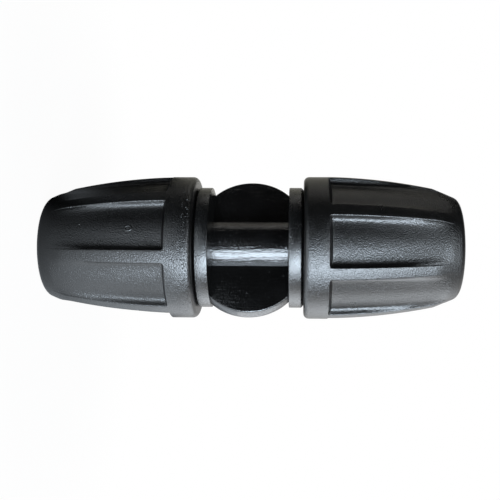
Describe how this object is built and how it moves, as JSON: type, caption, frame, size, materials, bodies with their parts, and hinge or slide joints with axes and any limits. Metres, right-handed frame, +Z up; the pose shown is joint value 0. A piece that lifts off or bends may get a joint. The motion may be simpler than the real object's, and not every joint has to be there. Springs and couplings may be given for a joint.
{
  "type": "irrigation tube connector",
  "caption": "Straight connector for soft irrigation tube: a barbed stem and a ribbed lock nut at each end, with flanges and a flat oval grip web between them.",
  "frame": {"origin": "middle of the lower nut's end face, where the fitting stands", "axes": "+Z up along the tube's axis, the grip web lies in the XZ plane"},
  "size_m": [0.0294, 0.0276, 0.0798],
  "materials": {
    "body_plastic": "black moulded polypropylene, half gloss with fine flow streaks",
    "nut_plastic": "black moulded polypropylene with a fine spark-eroded grain"
  },
  "bodies": {
    "fitting": {"connector_body": "body_plastic"},
    "lower_nut": {"lock_nut_lower": "nut_plastic"},
    "upper_nut": {"lock_nut_upper": "nut_plastic"}
  },
  "joints": [
    {"name": "lower_nut_turn", "type": "hinge", "parent": "fitting", "child": "lower_nut", "pos_m": [0, 0, 0.0149], "axis": [0, 0, -1], "range_deg": [-48, 990]},
    {"name": "upper_nut_turn", "type": "hinge", "parent": "fitting", "child": "upper_nut", "pos_m": [0, 0, 0.0649], "axis": [0, 0, 1], "range_deg": [-48, 990]}
  ]
}
